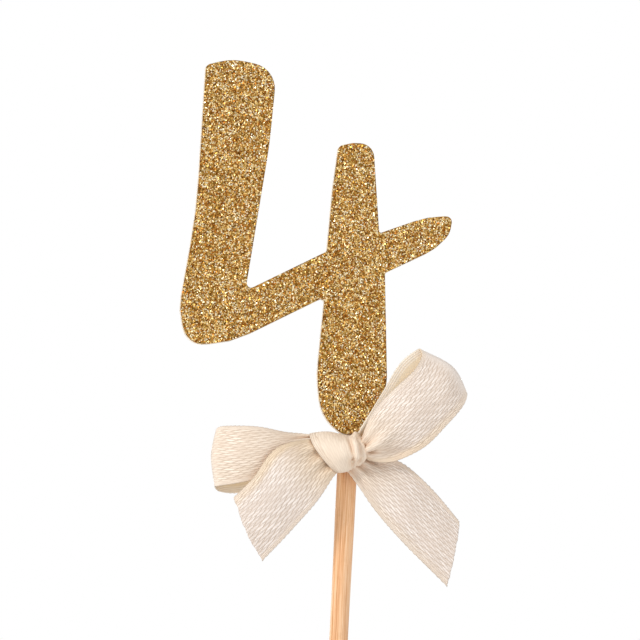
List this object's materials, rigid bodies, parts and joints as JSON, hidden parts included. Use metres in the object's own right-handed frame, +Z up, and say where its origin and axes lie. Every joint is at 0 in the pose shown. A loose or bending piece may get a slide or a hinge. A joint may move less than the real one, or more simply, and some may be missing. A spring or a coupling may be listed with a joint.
{
  "type": "number cake topper pick",
  "caption": "Card numeral with a glitter face on a round wooden pick, with a tied satin ribbon bow; the pointed shank stands in a cake or cupcake.",
  "frame": {"origin": "on the stick's axis, where the stick enters the cake", "axes": "+Z up along the stick, -Y out of the glitter face, +X to the right seen from the front"},
  "size_m": [0.0455, 0.0087, 0.1467],
  "materials": {
    "bamboo": "satin",
    "paper_board": "matte",
    "gold_glitter": "gloss",
    "hot_melt_glue": "satin",
    "satin_ribbon": "satin"
  },
  "bodies": {
    "pick": {"stick": "bamboo", "number_card": "paper_board", "glitter_coat": "gold_glitter", "glue_upper": "hot_melt_glue", "glue_lower": "hot_melt_glue"},
    "wrap": {"knot_wrap": "satin_ribbon"},
    "knot": {"bow_knot": "satin_ribbon"},
    "left_loop": {"left_loop": "satin_ribbon"},
    "right_loop": {"right_loop": "satin_ribbon"},
    "left_tail": {"left_tail": "satin_ribbon"},
    "right_tail": {"right_tail": "satin_ribbon"}
  },
  "joints": [
    {"name": "bow_slide", "type": "slide", "parent": "pick", "child": "wrap", "axis": [0, 0, -1], "range_m": [0, 0.035]},
    {"name": "bow_turn", "type": "hinge", "parent": "wrap", "child": "knot", "pos_m": [0, 0, 0.041], "axis": [0, 0, 1], "range_deg": [-60, 0]},
    {"name": "left_loop_flex", "type": "hinge", "parent": "knot", "child": "left_loop", "pos_m": [-0.0062, -0.002, 0.042], "axis": [0, 0, -1], "range_deg": [0, 25], "stiffness_Nm_per_rad": 0.00002},
    {"name": "right_loop_flex", "type": "hinge", "parent": "knot", "child": "right_loop", "pos_m": [0.0036, -0.0045, 0.042], "axis": [0.7071, 0, -0.7071], "range_deg": [0, 35], "stiffness_Nm_per_rad": 0.00002},
    {"name": "left_tail_flex", "type": "hinge", "parent": "knot", "child": "left_tail", "pos_m": [-0.0042, -0.005, 0.0401], "axis": [-0.67, 0, 0.7424], "range_deg": [0, 35], "stiffness_Nm_per_rad": 0.00002},
    {"name": "right_tail_flex", "type": "hinge", "parent": "knot", "child": "right_tail", "pos_m": [0.0025, -0.0021, 0.0386], "axis": [0.7071, 0, 0.7071], "range_deg": [0, 30], "stiffness_Nm_per_rad": 0.00002}
  ]
}
